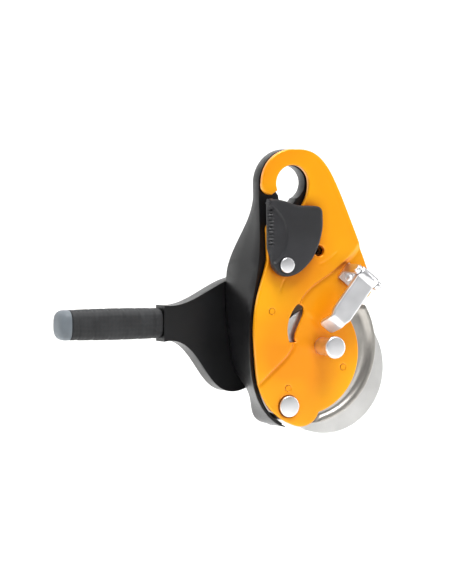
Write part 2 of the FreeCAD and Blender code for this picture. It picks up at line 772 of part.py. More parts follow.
def build():
    """Every named subcomponent."""
    nodes = {
        "back_shell": back_shell(),
        "rear_cover": rear_cover(),
        "friction_plate": friction_plate(),
        "friction_pins": Part.makeCompound(friction_pins()),
        "cam_axle": cam_axle(),
        "axle_nut": axle_nut(),
        "cam_stop_pin": rod(cam_stop_at(), cam_stop_r, cam_back - flange_t * 0.6, drive_front),
        "cover_screws": Part.makeCompound(cover_screws()),
        "lock_insert": tube(lock_screw, lock_insert_r, lock_thread_r, body_front, body_front + lock_insert_len),
        "shaft_bush": tube(hub, shaft_r + running + shaft_bush_t, shaft_r + running, cover_front, body_back),
        "return_spring": return_spring(),
        "cam": cam(),
        "cam_bush": tube(axle, axle_r + running + bush_t, axle_r + running, cam_front, cam_back),
        "drive_pin": rod(drive_pin, drive_pin_r, cam_back - 6, drive_front + 1 + drive_t),
        "catch_pin": rod(catch_at(), catch_pin_r, cam_front + 0.5, cam_back - 0.5),
        "catch": catch(),
        "side_plate": side_plate(),
        "plate_bush": tube(axle, axle_r + running + bush_t, axle_r + running, recess_floor, plate_back),
        "brake_flange": brake_flange(),
        "liner_rivets": Part.makeCompound(
            [rod(place, rivet_r, plate_front, liner_back) for place in liner_rivets_at()[:1]]
            + [rod(place, rivet_r, recess_floor, liner_back) for place in liner_rivets_at()[1:]]
        ),
        "brake_post": brake_post(),
        "brake_bracket": brake_bracket(),
        "bracket_rivets": Part.makeCompound(rivets(bracket_rivets_at(), recess_floor - foot_t, plate_back, 0.8)),
        "brake_pin": brake_pin(),
        "brake_gate": brake_gate(),
        "gate_rivet": gate_rivet(),
        "gate_spring": gate_spring(),
        "safety_gate": safety_gate(),
        "handle_arm": handle_arm(),
        "handle_grip": handle_grip(),
        "handle_cap": handle_cap(),
        "handle_shaft": handle_shaft(),
        "drive_cam": drive_cam(),
        "handle_button": handle_button(),
        "button_spring": button_spring(),
    }
    os.makedirs("parts", exist_ok=True)
    for name, shape in nodes.items():
        shape.exportStep(f"parts/{name}.step")
        print(name, len(shape.Solids), shape.isValid(), round(shape.Volume))


build()
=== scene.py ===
import json
import math

import bmesh
import bpy
import numpy as np
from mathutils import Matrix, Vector
from mathutils.geometry import delaunay_2d_cdt


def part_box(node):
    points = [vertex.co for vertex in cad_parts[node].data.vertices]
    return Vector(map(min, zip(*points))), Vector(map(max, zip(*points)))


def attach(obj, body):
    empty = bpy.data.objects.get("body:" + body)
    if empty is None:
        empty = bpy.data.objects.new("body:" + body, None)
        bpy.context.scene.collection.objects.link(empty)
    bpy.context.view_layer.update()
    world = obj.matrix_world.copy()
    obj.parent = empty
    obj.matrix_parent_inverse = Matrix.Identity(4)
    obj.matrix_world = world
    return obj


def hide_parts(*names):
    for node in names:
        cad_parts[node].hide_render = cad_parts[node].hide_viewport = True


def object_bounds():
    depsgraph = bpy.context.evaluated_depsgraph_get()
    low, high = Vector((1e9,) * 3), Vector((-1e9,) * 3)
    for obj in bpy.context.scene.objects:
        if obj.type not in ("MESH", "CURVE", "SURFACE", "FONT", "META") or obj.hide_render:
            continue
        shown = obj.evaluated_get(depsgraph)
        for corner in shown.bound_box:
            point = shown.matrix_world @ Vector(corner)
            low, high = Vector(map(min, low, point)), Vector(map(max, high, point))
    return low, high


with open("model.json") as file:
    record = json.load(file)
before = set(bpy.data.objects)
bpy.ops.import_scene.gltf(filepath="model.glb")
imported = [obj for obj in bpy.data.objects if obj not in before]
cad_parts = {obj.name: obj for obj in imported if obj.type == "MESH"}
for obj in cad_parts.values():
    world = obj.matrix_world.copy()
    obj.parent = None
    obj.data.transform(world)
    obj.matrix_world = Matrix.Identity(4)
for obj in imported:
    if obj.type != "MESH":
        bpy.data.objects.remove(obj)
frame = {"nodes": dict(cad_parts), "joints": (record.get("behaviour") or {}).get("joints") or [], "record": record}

bl_info = {
    "name": "Rope Descender Builder",
    "version": (1, 0, 0),
    "blender": (4, 5, 0),
    "location": "View3D > Sidebar > Descender",
    "description": "Builds the looks of a self-braking rope descender round its packed frame",
    "category": "Add Mesh",
}

MM = 0.001
SEAM = 2e-7  # points nearer than this, in metres, are one point
FRAME_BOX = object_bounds()
MIDDLE = (np.array(FRAME_BOX[0]) + np.array(FRAME_BOX[1])) / 2
JOINTS = {j["name"]: j for j in frame["joints"]}
SLOT_OF = {p["node"]: p["material_slot"] for p in frame["record"]["subparts"]}


def joint_at(name):
    """The (X, Z) of a joint's axis, in mm."""
    x, _, z = JOINTS[name]["pos_m"]
    return np.array([x, z]) / MM


CAM_AXLE = joint_at("cam_turn")
GATE_PIVOT = joint_at("safety_gate_turn")
HINGE = joint_at("brake_gate_turn")

# Sizes and places in mm, and angles in degrees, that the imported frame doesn't state.
DISH_CENTRE = np.array([9.3, -85.0])
RECESS_DEPTH = 1.3
SHOULDER_FROM, SHOULDER_TO = 24.0, 38.0  # X over which the recess's slope widens into the shoulder
PRESSED = (  # centre, radius, first and last angle of each pressed curve
    (np.array([10.0, -22.0]), 21.0, -78.0, -38.0),
    (np.array([8.0, -58.0]), 15.0, 140.0, 178.0),
)
GATE_HOLE_R, GATE_WELL_R, GATE_WELL_DEPTH = 2.65, 4.3, 2.6
GATE_RIVET_SHOULDER, GATE_RIVET_SHANK_R = -14.6, 2.5
BRAKE_ANGLE, BRAKE_LENGTH, BRAKE_THICKNESS = 51.6, 27.5, 3.0
BRAKE_HALF_WIDTH, BRAKE_LIP, BRAKE_BACK = 5.75, 8.0, -19.1
POST_NECK_END, POST_SPIGOT_R = -7.2, 3.0
AXLE_HEAD_R, AXLE_HEAD_HEIGHT, AXLE_R = 5.5, 1.6, 4.0
SUPERELLIPSE = 3.0  # power of the grip's and the cap's section


def node_box(name):
    """Lowest and highest corner of a CAD node, in mm."""
    low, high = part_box(name)
    return np.array(low) / MM, np.array(high) / MM


# ---------------------------------------------------------------- colour and nodes


def linear(code, alpha=1.0):
    """An sRGB hex colour as linear RGBA, by the sRGB curve."""
    c = np.array([int(code[i : i + 2], 16) for i in (1, 3, 5)]) / 255
    low, high = c / 12.92, ((c + 0.055) / 1.055) ** 2.4
    return (*np.where(c <= 0.04045, low, high).tolist(), alpha)


def add(tree, kind, inputs=None, **settings):
    """Adds one node, sets its settings, and sets or links each named input."""
    node = tree.nodes.new(kind)
    for key, value in settings.items():
        setattr(node, key, value)
    for key, value in (inputs or {}).items():
        if isinstance(value, bpy.types.NodeSocket):
            tree.links.new(value, node.inputs[key])
        else:
            node.inputs[key].default_value = value
    return node


def begin(name):
    """A new material with its node tree, its shader and Object coordinates."""
    material = bpy.data.materials.new(name)
    material.use_nodes = True
    tree = material.node_tree
    shader = next(n for n in tree.nodes if n.type == "BSDF_PRINCIPLED")
    where = add(tree, "ShaderNodeTexCoord").outputs["Object"]
    return material, tree, shader, where


def per_metre(size_mm):
    """The texture scale that gives features of that size."""
    return 1.0 / (size_mm * MM)


def ramp(tree, value, low, high, dark, light):
    """A colour that goes from dark to light as the value runs from low to high."""
    node = add(tree, "ShaderNodeValToRGB", {"Fac": value})
    for stop, position, tint in zip(node.color_ramp.elements, (low, high), (dark, light)):
        stop.position, stop.color = position, tint
    return node.outputs["Color"]


def two_tone(tree, shader, where, dark, light, size_mm, detail=4.0):
    """Colour that drifts between two tones in patches of that size."""
    noise = add(tree, "ShaderNodeTexNoise", {"Vector": where, "Scale": per_metre(size_mm), "Detail": detail})
    tree.links.new(ramp(tree, noise.outputs["Fac"], 0.35, 0.65, dark, light), shader.inputs["Base Color"])
    return noise


def rough_between(tree, shader, value, low, high):
    """Roughness from low to high as the value runs from 0.3 to 0.7."""
    mapped = add(
        tree, "ShaderNodeMapRange",
        {"Value": value, "From Min": 0.3, "From Max": 0.7, "To Min": low, "To Max": high},
    )
    tree.links.new(mapped.outputs["Result"], shader.inputs["Roughness"])


def relief(tree, shader, height, depth_mm, strength=1.0):
    """Bump of that depth from a height that runs from 0 to 1."""
    bump = add(tree, "ShaderNodeBump", {"Height": height, "Distance": depth_mm * MM, "Strength": strength})
    tree.links.new(bump.outputs["Normal"], shader.inputs["Normal"])


def colour(name):
    """A colour of the palette, as linear RGBA."""
    return tuple(getattr(bpy.context.scene.descender_palette, name))


def size(name):
    """A size of the settings, in mm."""
    return getattr(bpy.context.scene.descender_sizes, name) / MM


# ---------------------------------------------------------------- materials


def orange_anodised():
    """Forged aluminium, tumbled and dyed orange: saturated under a clear oxide, and deeper in the corners by
    painted shade from ambient occlusion.
    """
    material, tree, shader, where = begin("anodised_aluminium_orange")
    two_tone(tree, shader, where, colour("orange_dark"), colour("orange_light"), 38.0, 1.0)
    base = shader.inputs["Base Color"].links[0].from_socket
    # Painted shade: where ambient occlusion finds the plate's corners and recesses, the colour is mixed towards a
    # darker orange.
    corners = add(tree, "ShaderNodeAmbientOcclusion", {"Distance": 7 * MM}, samples=8)
    near = add(
        tree, "ShaderNodeMapRange", {"Value": corners.outputs["AO"], "From Min": 0.45, "From Max": 0.95}
    )
    shaded = add(
        tree, "ShaderNodeMixRGB",
        {"Fac": near.outputs["Result"], "Color1": colour("orange_painted_shade"), "Color2": base},
    )
    tree.links.new(shaded.outputs["Color"], shader.inputs["Base Color"])
    shader.inputs["Metallic"].default_value = 0.3
    shader.inputs["Specular IOR Level"].default_value = 0.4
    shader.inputs["Coat Weight"].default_value = 0.15
    shader.inputs["Coat Roughness"].default_value = 0.1
    fine = add(tree, "ShaderNodeTexNoise", {"Vector": where, "Scale": per_metre(7.0), "Detail": 1.0})
    rough_between(tree, shader, fine.outputs["Fac"], 0.29, 0.31)
    return material


def moulded_black():
    """Glass-filled nylon, moulded with a fine spark-eroded grain: near-black with a soft grey sheen."""
    return moulded("moulded_nylon_black", colour("black_dark"), colour("black_light"), 0.28, 0.4)


def moulded_grey():
    """Moulded nylon in dark grey, a little lighter than the body and more matte."""
    return moulded("moulded_nylon_grey", colour("gate_dark"), colour("gate_light"), 0.38, 0.52)


def moulded_slate():
    """Moulded nylon in slate blue-grey, on the parts that a hand presses."""
    return moulded("moulded_nylon_slate", linear("#565D63"), linear("#6B7278"), 0.4, 0.55)


def moulded(name, dark, light, low, high):
    """Plastic with a drifting tone and a 0.5 mm grain, drawn coarser than the real 0.1 mm to show."""
    material, tree, shader, where = begin(name)
    shader.inputs["Specular IOR Level"].default_value = 0.35
    two_tone(tree, shader, where, dark, light, 22.0)
    grain = add(tree, "ShaderNodeTexNoise", {"Vector": where, "Scale": per_metre(0.5), "Detail": 3.0})
    rough_between(tree, shader, grain.outputs["Fac"], low, high)
    relief(tree, shader, grain.outputs["Fac"], 0.03, 0.4)
    return material


def rubber_grip():
    """Overmoulded thermoplastic rubber with rows of small pips: matte, with dull edges."""
    material, tree, shader, where = begin("moulded_rubber_pipped")
    two_tone(tree, shader, where, linear("#17181A"), linear("#232426"), 9.0)
    pips = add(
        tree, "ShaderNodeTexVoronoi",
        {"Vector": where, "Scale": per_metre(2.2), "Randomness": 0.15}, feature="SMOOTH_F1",
    )
    rough_between(tree, shader, pips.outputs["Distance"], 0.62, 0.8)
    relief(tree, shader, pips.outputs["Distance"], -0.35, 0.8)
    return material


def polished_steel():
    """Stainless steel, ground and tumbled: bright and satin, with cloudy streaks drawn coarse to show."""
    material, tree, shader, where = begin("polished_stainless_steel")
    two_tone(tree, shader, where, colour("steel_dark"), colour("steel_light"), 9.0, 1.0)
    shader.inputs["Metallic"].default_value = 1.0
    stretched = add(
        tree, "ShaderNodeMapping", {"Vector": where, "Rotation": (0.0, 0.7, 0.0), "Scale": (1.0, 1.0, 3.0)}
    )
    streaks = add(
        tree, "ShaderNodeTexNoise",
        {"Vector": stretched.outputs["Vector"], "Scale": per_metre(6.0), "Detail": 1.0},
    )
    rough_between(tree, shader, streaks.outputs["Fac"], 0.34, 0.37)
    return material


def ground_steel():
    """Zinc-flaked spring and fastener steel: mid grey with a dull mottle."""
    material, tree, shader, where = begin("ground_steel_dark")
    noise = two_tone(tree, shader, where, linear("#6E6F72"), linear("#8B8C8F"), 3.0)
    shader.inputs["Metallic"].default_value = 1.0
    rough_between(tree, shader, noise.outputs["Fac"], 0.34, 0.5)
    relief(tree, shader, noise.outputs["Fac"], 0.02)
    return material


def turned_bronze():
    """Sintered bronze bush: warm, slightly porous and oiled."""
    material, tree, shader, where = begin("sintered_bronze")
    noise = two_tone(tree, shader, where, linear("#8A6536"), linear("#B08A4E"), 1.5)
    shader.inputs["Metallic"].default_value = 1.0
    rough_between(tree, shader, noise.outputs["Fac"], 0.3, 0.5)
    relief(tree, shader, noise.outputs["Fac"], 0.03)
    return material


def cam_steel():
    """The cam's turned and tumbled steel: light grey and satin, its tool marks too fine to show."""
    material, tree, shader, where = begin("turned_steel_cam")
    two_tone(tree, shader, where, linear("#D2D1CF"), linear("#E0DFDD"), 16.0)
    shader.inputs["Metallic"].default_value = 1.0
    shader.inputs["Roughness"].default_value = 0.33
    return material


def dish_steel(ring_mm=1.4):
    """The liner's brushed steel, warmer and darker than the cam's, with rings drawn coarse to show.

    The wave texture's rings are pi / 10 apart at a scale of 1, hence that factor.
    """
    material, tree, shader, where = begin("brushed_steel_dish")
    two_tone(tree, shader, where, linear("#ACA8A2"), linear("#C0BCB6"), 16.0)
    shader.inputs["Metallic"].default_value = 1.0
    x, z = DISH_CENTRE * MM
    middle = add(tree, "ShaderNodeMapping", {"Vector": where, "Location": (-x, 0.0, -z)})
    rings = add(
        tree, "ShaderNodeTexWave",
        {
            "Vector": middle.outputs["Vector"], "Scale": per_metre(ring_mm) * math.pi / 10,
            "Distortion": 1.2, "Detail": 3.0,
        },
        wave_type="RINGS", rings_direction="Y",
    )
    rough_between(tree, shader, rings.outputs["Fac"], 0.29, 0.33)
    relief(tree, shader, rings.outputs["Fac"], 0.003, 0.15)
    return material


MAKERS = {
    "steel_brushed": cam_steel,
    "orange_anodised": orange_anodised,
    "body_black": moulded_black,
    "gate_grey": moulded_grey,
    "cap_grey_blue": moulded_slate,
    "grip_rubber": rubber_grip,
    "steel_polished": polished_steel,
    "steel_dark": ground_steel,
    "bronze": turned_bronze,
}
made = {}


def finish_for(slot):
    """The material of a record's slot, made once."""
    if slot not in made:
        made[slot] = MAKERS[slot]()
    return made[slot]


# ---------------------------------------------------------------- mesh tools


def piece(name, points_mm, faces, body, slot, stands_for=(), material=None, sharp=35.0):
    """Puts points and faces into a new object that rides on a body and takes a slot's finish."""
    mesh = bpy.data.meshes.new(name)
    mesh.from_pydata((np.asarray(points_mm) * MM).tolist(), [], faces)
    shape = bmesh.new()
    shape.from_mesh(mesh)
    bmesh.ops.remove_doubles(shape, verts=shape.verts, dist=SEAM)
    bmesh.ops.holes_fill(shape, edges=[e for e in shape.edges if e.is_boundary], sides=8)
    bmesh.ops.recalc_face_normals(shape, faces=shape.faces)
    shape.to_mesh(mesh)
    shape.free()
    mesh.shade_smooth()
    mesh.set_sharp_from_angle(angle=math.radians(sharp))
    mesh.materials.append(material or finish_for(slot))
    thing = bpy.data.objects.new(name, mesh)
    bpy.context.scene.collection.objects.link(thing)
    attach(thing, body)
    if stands_for:
        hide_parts(*stands_for)
    return thing


def grid_faces(rows, columns, closed_rows=False, closed_columns=False):
    """Quads between neighbouring points of a grid whose points are stored row by row."""
    r = np.arange(rows if closed_rows else rows - 1)
    c = np.arange(columns if closed_columns else columns - 1)
    r, c = np.meshgrid(r, c, indexing="ij")
    r, c, r1, c1 = r.ravel(), c.ravel(), (r.ravel() + 1) % rows, (c.ravel() + 1) % columns
    return np.stack([r * columns + c, r * columns + c1, r1 * columns + c1, r1 * columns + c], 1)


def border(points, triangles):
    """The points and edges of a set of triangles' outline: the edges that only one of them uses."""
    sides = np.concatenate([triangles[:, [0, 1]], triangles[:, [1, 2]], triangles[:, [2, 0]]])
    sides, uses = np.unique(np.sort(sides, 1), axis=0, return_counts=True)
    used, edges = np.unique(sides[uses == 1], return_inverse=True)
    return points[used], edges.reshape(-1, 2)


def flat_rim(node, side):
    """The outline of a CAD node's flat face at its lowest (-1) or highest (1) Y, holes included.

    Returns the (X, Z) points in mm and the edges between them, from the triangles that lie in that plane.
    """
    mesh = frame["nodes"][node].data
    mesh.calc_loop_triangles()
    co = np.zeros(len(mesh.vertices) * 3, np.float32)
    mesh.vertices.foreach_get("co", co)
    tri = np.zeros(len(mesh.loop_triangles) * 3, np.int32)
    mesh.loop_triangles.foreach_get("vertices", tri)
    co, tri = co.reshape(-1, 3).astype(float) / MM, tri.reshape(-1, 3)
    plane = co[:, 1].max() if side > 0 else co[:, 1].min()
    tri = tri[(np.abs(co[tri][:, :, 1] - plane) < 1e-3).all(1)]
    keys, index = np.unique(np.round(co[:, [0, 2]], 3), axis=0, return_inverse=True)
    tri = index.reshape(-1)[tri]
    return border(keys, tri)


def split_long(points, edges, most):
    """Divides each edge into equal parts no longer than most."""
    a, b = points[edges[:, 0]], points[edges[:, 1]]
    parts = np.maximum(1, np.ceil(np.linalg.norm(b - a, axis=1) / most)).astype(int)
    owner = np.repeat(np.arange(len(edges)), parts - 1)
    step = np.arange(len(owner)) - np.repeat(np.cumsum(parts - 1) - (parts - 1), parts - 1) + 1
    extra = a[owner] + (b - a)[owner] * (step / parts[owner])[:, None]
    new = len(points) + np.arange(len(extra))
    starts = np.concatenate([edges[:, 0], new])
    ends_of_first = edges[:, 1].copy()
    ends_of_first[parts > 1] = new[step == 1]
    ends_of_new = np.where(step == parts[owner] - 1, edges[owner, 1], new + 1)
    ends = np.concatenate([ends_of_first, ends_of_new])
    return np.concatenate([points, extra]), np.stack([starts, ends], 1)


def inside_of(points, edges, ask):
    """Whether each asked point is inside the outline, by a ray's crossings, and its distance to it."""
    a, b = points[edges[:, 0]], points[edges[:, 1]]
    held, far = [], []
    for part in np.array_split(ask, max(1, len(ask) // 2000)):
        x, z = part[:, :1], part[:, 1:]
        over = (a[:, 1] > z) != (b[:, 1] > z)
        rise = np.where(np.abs(b[:, 1] - a[:, 1]) < 1e-12, 1e-12, b[:, 1] - a[:, 1])
        cross = a[:, 0] + (z - a[:, 1]) * (b[:, 0] - a[:, 0]) / rise
        held.append((over & (x < cross)).sum(1) % 2 == 1)
        d = b - a
        t = ((x - a[:, 0]) * d[:, 0] + (z - a[:, 1]) * d[:, 1]) / np.maximum((d * d).sum(1), 1e-12)
        t = np.clip(t, 0, 1)
        far.append(np.hypot(x - a[:, 0] - t * d[:, 0], z - a[:, 1] - t * d[:, 1]).min(1))
    return np.concatenate(held), np.concatenate(far)


def outward(points, edges):
    """Each outline point's normal out of the solid: of unit length, but longer at a corner.

    So an outline that is offset by it stays parallel to itself.
    """
    a, b = points[edges[:, 0]], points[edges[:, 1]]
    d = (b - a) / np.linalg.norm(b - a, axis=1)[:, None]
    n = np.stack([d[:, 1], -d[:, 0]], 1)
    inside, _ = inside_of(points, edges, (a + b) / 2 + n * 1e-3)
    n[inside] *= -1
    total = np.zeros_like(points)
    np.add.at(total, edges[:, 0], n)
    np.add.at(total, edges[:, 1], n)
    span = np.linalg.norm(total, axis=1)[:, None]
    return total / span * np.clip(2 / span, 1, 1.5)


def without_short(points, edges, least):
    """The outline without edges shorter than least, whose two ends become one point."""
    for _ in range(4):
        short = np.linalg.norm(points[edges[:, 0]] - points[edges[:, 1]], axis=1) < least
        if not short.any():
            break
        into = np.arange(len(points))
        into[edges[short, 1]] = edges[short, 0]
        edges = into[edges[~short]]
        edges = edges[edges[:, 0] != edges[:, 1]]
    used, edges = np.unique(edges, return_inverse=True)
    return points[used], edges.reshape(-1, 2)


def plate_mesh(points, edges, radius, cell, front, back, steps=5):
    """A plate with rounded edges.

    Its front and back are one triangulation of the outline, drawn in by the edge radius, and their depths
    are functions of (X, Z). The rim is a quarter circle, a straight wall and a quarter circle, carried round
    the triangulation's own border, so that it always meets the faces.
    """
    points, edges = split_long(*without_short(points, edges, 0.12), cell * 1.5)
    normal = outward(points, edges)
    inner = points - normal * radius
    low, high = inner.min(0), inner.max(0)
    across, up = np.arange(low[0], high[0], cell), np.arange(low[1], high[1], cell * 0.87)
    gx, gz = np.meshgrid(across, up, indexing="ij")
    gx[:, 1::2] += cell / 2
    fill = np.stack([gx.ravel(), gz.ravel()], 1)
    inside, far = inside_of(inner, edges, fill)
    everything = np.concatenate([inner, fill[inside & (far > cell * 0.55)]])
    found = delaunay_2d_cdt(everything.tolist(), edges.tolist(), [], 1, 1e-6, False)
    flat, triangles = np.array([tuple(p) for p in found[0]]), np.array(found[2])
    inside, _ = inside_of(inner, edges, flat[triangles].mean(1))
    triangles = triangles[inside]
    inner, edges = border(flat, triangles)
    normal = outward(inner, edges)
    turn = np.linspace(0, math.pi / 2, steps + 1)
    front_y, back_y = front(inner[:, 0], inner[:, 1]), back(inner[:, 0], inner[:, 1])
    rings = [(radius * math.sin(t), front_y + radius * (1 - math.cos(t))) for t in turn]
    rings += [(radius * math.cos(t), back_y - radius * (1 - math.sin(t))) for t in turn]
    x, z, nx, nz = *inner.T, *normal.T
    skirt = np.concatenate([np.stack([x + nx * out, y, z + nz * out], 1) for out, y in rings])
    n = len(inner)
    k = np.arange(len(rings) - 1)[:, None] * n
    a, b = k + edges[:, 0], k + edges[:, 1]
    quads = np.stack([a, b, b + n, a + n], 2).reshape(-1, 4)
    x, z = flat.T
    sheets = [np.stack([x, depth(x, z), z], 1) for depth in (front, back)]
    front_faces = triangles + len(skirt)
    back_faces = front_faces[:, ::-1] + len(flat)
    return np.concatenate([skirt, *sheets]), [*quads.tolist(), *front_faces.tolist(), *back_faces.tolist()]


def level(y):
    """A flat depth, as a function of (X, Z)."""
    return lambda x, z: np.full(np.shape(x), float(y))


def lathe(profile, origin, axis=(0.0, 1.0, 0.0), steps=96):
    """A profile of (radius, height) points turned about an axis through an origin."""
    profile = np.asarray(profile, float)
    axis = np.asarray(axis, float)
    side = np.cross(axis, (0.3, 0.2, 0.9))
    side /= np.linalg.norm(side)
    other = np.cross(axis, side)
    a = 2 * math.pi * np.arange(steps)[:, None, None] / steps
    r, h = profile[:, 0][:, None], profile[:, 1][:, None]
    points = np.asarray(origin, float) + h * axis + r * (np.cos(a) * side + np.sin(a) * other)
    return points.reshape(-1, 3), grid_faces(steps, len(profile), closed_rows=True).tolist()


def join(*parts):
    """Several (points, faces) as one."""
    points, faces, start = [], [], 0
    for p, f in parts:
        points.append(p)
        faces += [[i + start for i in face] for face in f]
        start += len(p)
    return np.concatenate(points), faces


def loop(points):
    """The edges of one closed outline."""
    n = np.arange(len(points))
    return np.stack([n, (n + 1) % len(points)], 1)


def spline_loop(*runs, per=10):
    """A closed outline of Catmull-Rom runs, each of which starts where the last one ended."""
    t = np.arange(per)[:, None] / per
    parts = []
    for run in runs:
        p = np.array(run, float)
        if len(p) == 2:
            parts.append(p[:1])
            continue
        p = np.vstack([2 * p[0] - p[1], p, 2 * p[-1] - p[-2]])
        a, b, c, d = (p[i : len(p) - 3 + i, None] for i in range(4))
        second, third = 2 * a - 5 * b + 4 * c - d, 3 * b - a - 3 * c + d
        curve = 0.5 * (2 * b + (c - a) * t + second * t**2 + third * t**3)
        parts.append(curve.reshape(-1, 2))
    return np.concatenate(parts)


def circle(centre, r, steps=48):
    """Points on a circle."""
    a = 2 * math.pi * np.arange(steps) / steps
    return np.stack([centre[0] + r * np.cos(a), centre[1] + r * np.sin(a)], 1)


def outlines(*loops):
    """Several closed outlines as one set of points and edges."""
    starts = np.cumsum([0, *(len(p) for p in loops[:-1])])
    return np.concatenate(loops), np.concatenate([loop(p) + k for p, k in zip(loops, starts)])


def head_profile(r, y0, y1, fillet, crown=0.0, steps=6):
    """The (radius, Y) profile of a round head: a crowned face at y0, a rounded corner and a wall to y1."""
    x = np.linspace(0, r - fillet, 8)
    t = np.linspace(0, math.pi / 2, steps)
    face = np.stack([x, y0 + crown * (x / (r - fillet)) ** 2], 1)
    corner = np.stack([r - fillet + fillet * np.sin(t), y0 + crown + fillet * (1 - np.cos(t))], 1)
    return [*face.tolist(), *corner[1:].tolist(), (r, y1)]


def smooth_step(value, low, high):
    """0 below low, 1 above high, and a smooth S between."""
    t = np.clip((value - low) / (high - low), 0, 1)
    return t * t * (3 - 2 * t)


def bell(value, middle, width):
    """A Gaussian bell: 1 at the middle, and 1/e at that width from it."""
    return np.exp(-(((value - middle) / width) ** 2))


# ---------------------------------------------------------------- settings


def tone(name, description, code):
    """A colour property whose default is an sRGB hex colour."""
    return bpy.props.FloatVectorProperty(
        name=name, description=description, subtype="COLOR", size=4, min=0.0, max=1.0, default=linear(code)
    )


def length(name, description, default_mm):
    """A length property whose default is given in mm."""
    return bpy.props.FloatProperty(
        name=name, description=description, unit="LENGTH", subtype="DISTANCE", min=0.0,
        default=default_mm * MM,
    )


class DescenderPalette(bpy.types.PropertyGroup):
    """The colours that give the part its look."""

    orange_dark: tone("Orange, dark", "Darker tone of the anodised plate", "#E88C00")
    orange_light: tone("Orange, light", "Lighter tone of the anodised plate", "#F2A600")
    # Painted shade: the darker orange mixed into the plate's corners and recesses by ambient occlusion.
    orange_painted_shade: tone("Orange, corners", "Tone of the anodised plate in its corners", "#C86400")
    black_dark: tone("Body, dark", "Darker tone of the moulded body", "#0A0A0B")
    black_light: tone("Body, light", "Lighter tone of the moulded body", "#121214")
    gate_dark: tone("Gate, dark", "Darker tone of the safety gate", "#1F1F21")
    gate_light: tone("Gate, light", "Lighter tone of the safety gate", "#2A2A2D")
    steel_dark: tone("Steel, dark", "Darker tone of the polished steel", "#D8D8DA")
    steel_light: tone("Steel, light", "Lighter tone of the polished steel", "#E6E6E8")
    floor: tone("Floor", "Tone of the floor and backdrop", "#FBFBFA")


class DescenderSizes(bpy.types.PropertyGroup):
    """The sizes that a person may want to change."""

    plate_edge: length("Plate edge", "Rounding of the side plate's edges", 0.7)
    plate_cell: length("Plate cell", "Distance between the side plate's surface points", 0.55)
    recess_slope: length("Recess slope", "Width of the slope into the plate's recess", 1.0)
    shoulder_slope: length("Shoulder slope", "Width of the slope on the plate's right shoulder", 3.0)
    gate_edge: length("Gate edge", "Rounding of the safety gate's edges", 1.3)
    gate_cell: length("Gate cell", "Distance between the safety gate's surface points", 0.45)
    rib_pitch: length("Rib pitch", "Distance between the safety gate's ribs", 1.8)
    brake_edge: length("Brake gate edge", "Rounding of the folded steel gate's edges", 0.8)
    shell_edge: length("Shell edge", "Rounding of the moulded body's corners", 0.5)
    bracket_edge: length("Bracket edge", "Rounding of the hinge bracket's corners", 0.35)
    floor_drop: length("Floor drop", "Height of the eye above the floor", 210.0)


# ---------------------------------------------------------------- pieces


def soften(node, width_mm, segments=3):
    """Welds a CAD node's loose triangles and rounds its sharp edges, without touching its mesh."""
    thing = frame["nodes"][node]
    weld = thing.modifiers.new("weld", "WELD")
    weld.merge_threshold = 1e-5
    bevel = thing.modifiers.new("bevel", "BEVEL")
    bevel.width, bevel.segments = width_mm * MM, segments
    bevel.limit_method, bevel.angle_limit = "ANGLE", math.radians(40)
    bevel.harden_normals = True


def finish_nodes():
    """Gives every CAD node the material of its slot."""
    for node, thing in frame["nodes"].items():
        thing.data.materials.clear()
        thing.data.materials.append(finish_for(SLOT_OF[node]))


def plate_depth(x, z):
    """The side plate's front: the plateau, a smooth slope and the recess, with two pressed curves."""
    foot_depth, foot_gap, foot_width = 0.3, 0.6, 0.9
    line_depth, line_width, fade = 0.22, 0.55, 10.0
    ask = np.stack([np.ravel(x), np.ravel(z)], 1)
    on_top, far = inside_of(*flat_rim("side_plate", -1), ask)
    narrow, wide = size("recess_slope"), size("shoulder_slope")
    slope = narrow + (wide - narrow) * smooth_step(ask[:, 0], SHOULDER_FROM, SHOULDER_TO)
    foot = foot_depth * bell(far, slope + foot_gap, foot_width)
    down = np.where(on_top, 0.0, RECESS_DEPTH * smooth_step(far, 0.0, slope) + foot)
    for centre, r, first, last in PRESSED:
        across, up = (ask - centre).T
        turn = np.degrees(np.arctan2(up, across))
        ends = smooth_step(turn, first, first + fade) * (1 - smooth_step(turn, last - fade, last))
        down = down + np.where(on_top, line_depth * bell(np.hypot(across, up), r, line_width) * ends, 0.0)
    return node_box("side_plate")[0][1] + down.reshape(np.shape(x))


def side_plate_piece():
    """The orange side plate with its hook, window and recess."""
    _, high = node_box("side_plate")
    mesh = plate_mesh(
        *flat_rim("side_plate", 1), size("plate_edge"), size("plate_cell"), plate_depth, level(high[1])
    )
    return piece("side_plate_skin", *mesh, "side_plate", "orange_anodised", ("side_plate",))


def flange_depth(x, z):
    """The steel liner's front: flat behind the plate, with a dished rim that stands forward past it."""
    dip_depth, dip_r, dip_width = 0.35, 34.6, 1.7
    rim_from, rim_to, blend = 35.6, 38.6, 3.0
    rim, plate_back = node_box("brake_flange")[0][1], node_box("side_plate")[1][1]
    ask = np.stack([np.ravel(x), np.ravel(z)], 1)
    covered, far = inside_of(*flat_rim("side_plate", 1), ask)
    r = np.hypot(*(ask - DISH_CENTRE).T)
    rise = (plate_back - rim) * smooth_step(r, rim_from, rim_to) - dip_depth * bell(r, dip_r, dip_width)
    rise = np.where(covered, 0.0, rise * smooth_step(far, 0.0, blend))
    return (plate_back - rise).reshape(np.shape(x))


def brake_flange_piece():
    """The steel liner that shows past the lobe's right edge."""
    edge, cell = 0.35, 0.8
    _, high = node_box("brake_flange")
    mesh = plate_mesh(*flat_rim("brake_flange", 1), edge, cell, flange_depth, level(high[1]))
    return piece(
        "brake_flange_skin", *mesh, "side_plate", "steel_brushed", ("brake_flange",),
        material=dish_steel(), sharp=50.0,
    )


